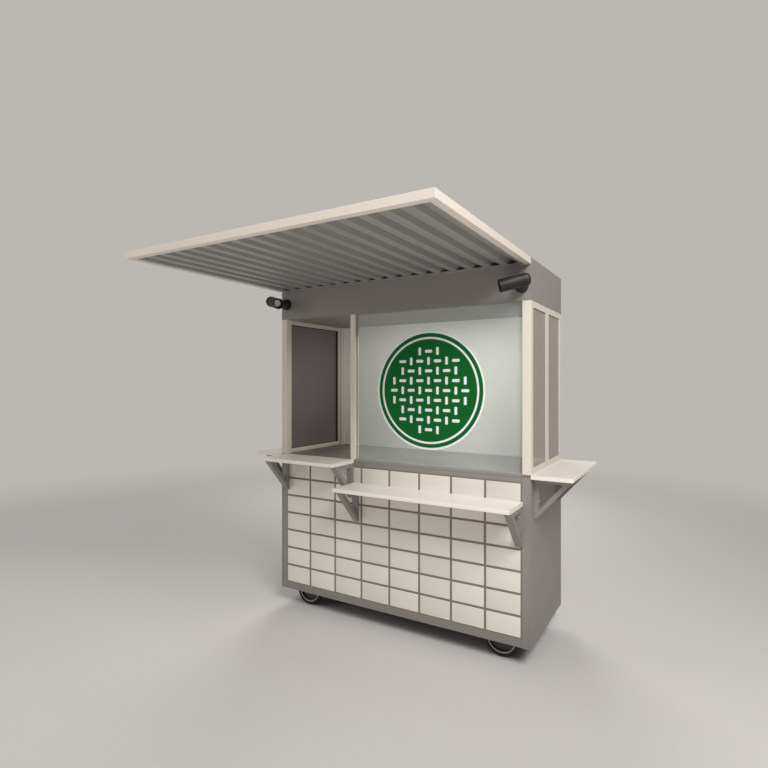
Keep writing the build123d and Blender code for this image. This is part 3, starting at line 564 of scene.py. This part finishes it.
class KIOSK_OT_glazing(bpy.types.Operator):
    """Set the sealant, edging, beads, gaskets, dark strips and painted dark-view film of the
    panes
    """

    bl_idname = "kiosk.glazing"
    bl_label = "Glazing"

    def execute(self, context):
        # Hollow fillet of sealant in the corner between pane and frame: a quarter of a circle
        bend = np.linspace(0, np.pi / 2, 4)
        hollow = np.stack((1 - np.sin(bend), 1 - np.cos(bend)), axis=-1)[::-1]
        front_fillet, side_fillet = 0.004, 0.0025
        low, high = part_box("front_glass")
        rings = boxed((high.x - low.x) / 2, (high.z - low.z) / 2, MILLIMETRE,
                      np.vstack(((0, 0), front_fillet * hollow)))
        middle_x, middle_z = (high.x + low.x) / 2, (high.z + low.z) / 2
        build("front_sealant", joined(
            placed(rings, (middle_x, low.y, middle_z), FRONT),
            placed(rings, (middle_x, high.y, middle_z), BACK)),
            "silicone_sealant", closed=True)

        # Edging over the worktop's front edge, sloped up to the foot of the pane
        deck_low, deck_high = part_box("worktop")
        left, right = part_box("hatch_mullion")[1].x, high.x
        foot, under = low.y - deck_low.y, deck_low.z - deck_high.z
        proud, nose, rise, chamfer = 0.0016, 0.003, 0.009, 0.0005
        lipping = ((foot, rise), (-proud / 2, nose), (-proud, nose / 2),
                   (-proud, under + chamfer), (0, under), (0, 0), (foot, 0))
        build("pane_edging", placed(drawn(lipping, left, right), (0, deck_low.y, deck_high.z),
                                    RIGHT), "powder_coated_steel")

        # Outside, a fine fillet of sealant runs round the two fields either side of the stile
        low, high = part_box("side_glass")
        stile_low, stile_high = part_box("window_stiles")
        middle_z = (stile_low.z + stile_high.z) / 2
        half_z = (stile_high.z - stile_low.z) / 2
        fields = []
        for front, back in ((low.y, stile_low.y), (stile_high.y, high.y)):
            rings = boxed((back - front) / 2, half_z, MILLIMETRE,
                          np.vstack(((0, 0), side_fillet * hollow)))
            for x, facing in ((high.x, RIGHT), (low.x, LEFT)):
                fields.append(placed(rings, (x, (front + back) / 2, middle_z), facing))
        build("window_sealant", joined(*fields), "silicone_sealant", closed=True)

        # Inside, one glazing bead and its gasket run round the whole pane
        bead = ((0, 0), (0, 0.012), (0.008, 0.012), (0.0105, 0.0095), (0.0115, 0.0))
        gasket = ((0.0115, 0), (0.0115, 0.003), (0.0165, 0.0022), (0.0175, 0.0))
        # A cover strip widens the bead beside the corner post, a dark rubber strip stands at the
        # far end, and the film, whose colour is painted darkness of the view through the pane,
        # lies against the pane. All three start under the bead, this far inside the edge of a
        # pane this thick
        pane, edge = 0.006, 0.011
        cover, cover_proud = 0.024, 0.010
        far_strip, far_strip_proud = 0.026, 0.005
        film_proud, film_behind = 0.0010, 0.0005
        near, far = low.y + edge, high.y - edge
        half = ((high.y - low.y) / 2, (high.z - low.z) / 2)

        def strip(x, inward, proud, start, stop, behind=0.0):
            """Upright strip on the inner face of a pane: a rectangle drawn up between the beads,
            from behind the face to proud of it."""
            left, right = sorted((x - inward * behind, x + inward * proud))
            return drawn(((left, start), (right, start), (right, stop), (left, stop)),
                         low.z + edge, high.z - edge)

        beads, gaskets, films, covers, far_strips = [], [], [], [], []
        for inward, facing in ((-1, LEFT), (1, RIGHT)):
            x = -inward * (high.x - pane)
            centre = (x, (low.y + high.y) / 2, (low.z + high.z) / 2)
            beads.append(placed(boxed(*half, MILLIMETRE, bead), centre, facing))
            gaskets.append(placed(boxed(*half, MILLIMETRE, gasket), centre, facing))
            films.append(strip(x, inward, film_proud, near, far, behind=film_behind))
            covers.append(strip(x, inward, cover_proud, near, near + cover))
            far_strips.append(strip(x, inward, far_strip_proud, far - far_strip, far))
        build("window_beads", joined(*beads), "painted_timber", closed=True)
        build("window_painted_dark_view_film", np.stack(films), "painted_dark_view_film")
        build("window_gaskets", joined(*gaskets), "black_rubber", closed=True)
        build("window_covers", np.stack(covers), "painted_timber")
        build("window_far_strips", np.stack(far_strips), "black_rubber")
        return {"FINISHED"}


class KIOSK_OT_fixings(bpy.types.Operator):
    """Fit the bolts and screws"""

    bl_idname = "kiosk.fixings"
    bl_label = "Fixings"

    def execute(self, context):
        # Button head with a hex socket, drawn as a turned dome with a sunk middle
        button = np.array(((1, 0), (1, 0.25), (0.93, 0.6), (0.75, 0.88), (0.48, 1),
                           (0.42, 1), (0.40, 0.45)))
        bolt_size, screw_size = (0.0075, 0.0045), (0.005, 0.0025)  # radius and height
        head = turned(button * bolt_size, 12)
        small = turned(button * screw_size, 12)

        # Two bolts through each bracket's wall bar, two up through the bar under the board.
        # The middle of a bracket lies half its width in, and each bar is this deep
        middle, bar = 0.022, 0.028
        drops = np.array((0.070, 0.150))  # below the board
        reaches = np.array((0.065, 0.145))  # out from the wall
        bolts = []
        for node in ("counter_brackets", "long_shelf_brackets"):
            low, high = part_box(node)
            across = (low.x + middle, high.x - middle)
            bolts.append(placed(head, grid(across, (high.y - bar,), high.z - drops), FRONT))
            bolts.append(placed(head, grid(across, high.y - reaches, (high.z - bar,)), DOWN))
        low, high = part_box("side_shelf_brackets")
        panel_low, panel_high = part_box("base_side_panels")
        along = (low.y + middle, high.y - middle)
        for wall, out, facing in ((panel_high.x, 1, RIGHT), (panel_low.x, -1, LEFT)):
            bolts.append(placed(head, grid((wall + out * bar,), along, high.z - drops), facing))
            bolts.append(placed(head, grid(wall + out * reaches, along, (high.z - bar,)), DOWN))
        build("bracket_bolts", joined(*bolts), "zinc_plated_steel")

        # Screws round the edges of the two back panels, each row this far inside its edge
        screws = []
        for node, ends, foot, top in (("rear_panel", 0.03, 0.03, 0.03),
                                      ("base_back_panel", 0.022, 0.03, 0.016)):
            low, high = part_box(node)
            along = np.linspace(low.x + ends, high.x - ends, 7)
            up = np.linspace(low.z + foot, high.z - top, 5)
            screws.append(placed(small, grid(along, (high.y,), up[[0, -1]]), BACK))
            screws.append(placed(small, grid(along[[0, -1]], (high.y,), up[1:-1]), BACK))
        build("panel_screws", joined(*screws), "zinc_plated_steel")

        # Four hexagon bolts up through each castor plate, given the plate's length, width and
        # thickness, and how far each bolt lies inside the edges
        bolt = turned(((0.0085, 0), (0.0098, 0.001), (0.0098, 0.006), (0.0085, 0.007)), 6)
        low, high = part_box("castor_forks")
        length_x, width_y, plate, edge = 0.110, 0.078, 0.005, 0.012
        spots = [grid((x - length_x / 2 + edge, x + length_x / 2 - edge),
                      (y - width_y / 2 + edge, y + width_y / 2 - edge), (high.z - plate,))
                 for x in (low.x + length_x / 2, high.x - length_x / 2)
                 for y in (low.y + width_y / 2, high.y - width_y / 2)]
        build("castor_bolts", placed(bolt, np.concatenate(spots), DOWN),
              "zinc_plated_steel")

        # Sheet screws with a sealing washer, up through the ledge into each low flat between two
        # of the sheet's ribs
        low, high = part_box("canopy_ledge")
        ribs = 17
        pitch = (high.x - low.x) / ribs
        flats = low.x + pitch * np.arange(1, ribs)
        washer = turned(((0.0075, 0), (0.0075, 0.0012), (0.0048, 0.0016), (0.0045, 0.0045),
                         (0.0035, 0.005)), 6)
        spots = grid(flats, ((low.y + high.y) / 2,), (low.z,))
        build("sheet_screws", placed(washer, spots, DOWN), "zinc_plated_steel")
        return {"FINISHED"}


class KIOSK_OT_lamps(bpy.types.Operator):
    """Dress the spot lamps with their bezels, lens keepers, fins and clamp knobs"""

    bl_idname = "kiosk.lamps"
    bl_label = "Lamps"

    def execute(self, context):
        joints = {joint["child"]: joint for joint in frame["joints"]}
        for lamp in LAMPS:
            pivot = np.array(joints[lamp]["pos_m"])
            low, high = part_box(lamp + "_lens")
            lens = (np.array(low) + np.array(high)) / 2
            aim = toward(lens - pivot)
            mouth, tail, radius = 0.090, -0.095, 0.039  # of the head, from its pivot
            # Bezel: a rolled lip round the mouth
            bezel = turned(((radius - 0.003, mouth - 0.010), (radius + 0.0008, mouth - 0.010),
                            (radius + 0.0016, mouth - 0.006), (radius + 0.0016, mouth - 0.001),
                            (radius + 0.0006, mouth + 0.0004), (radius - 0.0028, mouth + 0.0004),
                            (radius - 0.004, mouth - 0.002)), 48)
            # Retaining ring: a bevelled ring that holds the lens
            seat = np.linalg.norm(lens - pivot) + 0.002
            keeper = turned(((0.0265, seat - 0.003), (0.0265, seat + 0.0005),
                             (0.030, seat + 0.004), (0.0355, seat + 0.004),
                             (0.0355, seat - 0.003)), 48)
            # Cooling fins: raised rings round the back, at an even pitch from the dome on
            first, pitch, count = tail + 0.030, 0.007, 5
            fin = turned(((radius - 0.001, 0), (radius + 0.0014, 0.0004),
                          (radius + 0.0014, 0.0026), (radius - 0.001, 0.003)), 48)
            fins = [placed(fin + (0, 0, first + step * pitch), pivot, aim)
                    for step in range(count)]
            for part, rings in (("_bezel", placed(bezel, pivot, aim)),
                                ("_keeper", placed(keeper, pivot, aim)),
                                ("_fins", joined(*fins))):
                build(lamp + part, rings, "black_coated_aluminium", body=lamp,
                      closed=True)
        # Clamp knob under each stem: a fluted grip, its radius a cosine wave round the rim
        low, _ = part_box("lamp_feet")
        around, flutes, ripple = 32, 8, 0.05
        grip = turned(((0.003, -0.001), (0.003, 0.008), (0.0075, 0.009), (0.0085, 0.0105),
                       (0.0085, 0.0165), (0.007, 0.018), (0.002, 0.018)), around)
        wave = 1 + ripple * np.cos(flutes * np.arange(around) * (2 * np.pi / around))
        grip[..., :2] *= wave[None, :, None]
        stem, from_tip = 0.0108, 0.016  # just inside the stem's radius; knob to the stem's end
        spots = [(joints[lamp]["pos_m"][0], low.y + from_tip, joints[lamp]["pos_m"][2] - stem)
                 for lamp in LAMPS]
        build("lamp_knobs", placed(grip, spots, DOWN), "black_coated_aluminium")
        return {"FINISHED"}


class KIOSK_OT_wheels(bpy.types.Operator):
    """Add the pale ring on both faces of every wheel"""

    bl_idname = "kiosk.wheels"
    bl_label = "Wheels"

    def execute(self, context):
        # Flat ring with chamfered edges, sunk into the wheel's face and just proud of it
        outer, inner, chamfer = 0.0945, 0.0865, 0.001
        sunk, edge, face = -0.001, 0.0006, 0.0012
        ring = turned(((outer, sunk), (outer, edge), (outer - chamfer, face),
                       (inner + chamfer, face), (inner, edge), (inner, sunk)), 96)
        for wheel in WHEELS:
            low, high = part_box(wheel + "_tyre")
            x, z = (low.x + high.x) / 2, (low.z + high.z) / 2
            build(wheel + "_rings", joined(
                placed(ring, (x, low.y, z), FRONT), placed(ring, (x, high.y, z), BACK)),
                "pale_nylon", body=wheel, closed=True)
        return {"FINISHED"}


class KIOSK_OT_stage(bpy.types.Operator):
    """Set up the floor, the studio light and the camera"""

    bl_idname = "kiosk.stage"
    bl_label = "Studio"

    def execute(self, context):
        scene = context.scene
        sizes = scene.kiosk_stage
        camera = bpy.data.objects.new("camera", bpy.data.cameras.new("camera"))
        camera.data.lens = sizes.lens
        camera.data.sensor_width = 36.0
        camera.location = sizes.place
        camera.rotation_euler = (radians(90) + sizes.tilt, 0, sizes.turn)
        scene.collection.objects.link(camera)
        scene.camera = camera
        scene.view_settings.view_transform = "Standard"

        # Pale floor that melts into its surroundings between two distances from the kiosk
        near, far, reach = 2.5, 9.0, 60.0
        tree = begun("studio_floor")
        place = add(tree, "ShaderNodeTexCoord").outputs["Object"]
        away = add(tree, "ShaderNodeVectorMath", None, {0: place}, operation="LENGTH")
        fade = add(tree, "ShaderNodeMapRange", {"From Min": near, "From Max": far},
                   {"Value": away.outputs["Value"]}, interpolation_type="SMOOTHSTEP")
        matt = add(tree, "ShaderNodeBsdfDiffuse", {"Color": opaque(sizes.floor)})
        glow = add(tree, "ShaderNodeEmission", {"Color": opaque(sizes.beyond)})
        share = add(tree, "ShaderNodeMath", None,
                    {0: seen(tree), 1: fade.outputs["Result"]},
                    operation="MULTIPLY")
        both = add(tree, "ShaderNodeMixShader", None,
                   {0: share.outputs["Value"], 1: matt.outputs["BSDF"],
                    2: glow.outputs["Emission"]})
        add(tree, "ShaderNodeOutputMaterial", None, {"Surface": both.outputs["Shader"]})
        mesh = bpy.data.meshes.new("studio_floor")
        mesh.from_pydata([(-reach, -reach, 0), (reach, -reach, 0), (reach, reach, 0),
                          (-reach, reach, 0)], [], [(0, 1, 2, 3)])
        mesh.materials.append(bpy.data.materials["studio_floor"])
        floor = bpy.data.objects.new("studio_floor", mesh)
        scene.collection.objects.link(floor)

        world = bpy.data.worlds.new("studio")
        scene.world = world
        world.use_nodes = True
        tree = world.node_tree
        tree.nodes.clear()
        soft = add(tree, "ShaderNodeBackground",
                   {"Color": (1, 0.99, 0.98, 1), "Strength": 0.18})
        shown = add(tree, "ShaderNodeBackground",
                    {"Color": opaque(sizes.beyond), "Strength": 1.0})
        both = add(tree, "ShaderNodeMixShader", None,
                   {0: seen(tree), 1: soft.outputs["Background"],
                    2: shown.outputs["Background"]})
        add(tree, "ShaderNodeOutputWorld", None, {"Surface": both.outputs["Shader"]})

        # A high key from the right and weaker fills; only the key shows in gloss and glass. A
        # light faces down its own z, so it is tipped from there and then turned to its aim
        for name, spot, aim, width, depth, power in LIGHTS:
            lamp = bpy.data.objects.new(name, bpy.data.lights.new(name, "AREA"))
            lamp.visible_camera = False
            lamp.visible_glossy = lamp.visible_transmission = name == "key"
            lamp.data.energy = power
            lamp.data.shape = "RECTANGLE"
            lamp.data.size, lamp.data.size_y = width, depth
            lamp.location = spot
            line = np.array(aim) - np.array(spot)
            flat = np.hypot(line[0], line[1])
            lamp.rotation_euler = (np.arctan2(flat, -line[2]), 0,
                                   np.arctan2(line[1], line[0]) - np.pi / 2)
            scene.collection.objects.link(lamp)
        return {"FINISHED"}


class KIOSK_PT_panel(bpy.types.Panel):
    """Lists the pieces of the kiosk."""

    bl_idname = "KIOSK_PT_panel"
    bl_label = "Street kiosk"
    bl_space_type = "VIEW_3D"
    bl_region_type = "UI"
    bl_category = "Kiosk"

    def draw(self, context):
        for operator in OPERATORS:
            self.layout.operator(operator.bl_idname)


GROUPS = {
    "kiosk_colours": KioskColours, "kiosk_tiles": KioskTiles,
    "kiosk_roundel": KioskRoundel, "kiosk_stage": KioskStage,
}
OPERATORS = (
    KIOSK_OT_finishes, KIOSK_OT_tiles, KIOSK_OT_roundel, KIOSK_OT_glazing,
    KIOSK_OT_fixings, KIOSK_OT_lamps, KIOSK_OT_wheels, KIOSK_OT_stage,
)


def register():
    """Register the classes and hang the settings on the scene."""
    for kind in (*GROUPS.values(), *OPERATORS, KIOSK_PT_panel):
        bpy.utils.register_class(kind)
    for name, group in GROUPS.items():
        setattr(bpy.types.Scene, name, bpy.props.PointerProperty(type=group))


def unregister():
    """Take the settings and classes away again."""
    for name in GROUPS:
        delattr(bpy.types.Scene, name)
    for kind in (KIOSK_PT_panel, *reversed(OPERATORS), *reversed(GROUPS.values())):
        bpy.utils.unregister_class(kind)


def main():
    """Make every piece in order."""
    register()
    for operator in OPERATORS:
        group, name = operator.bl_idname.split(".")
        getattr(getattr(bpy.ops, group), name)()


if __name__ == "__main__":
    main()
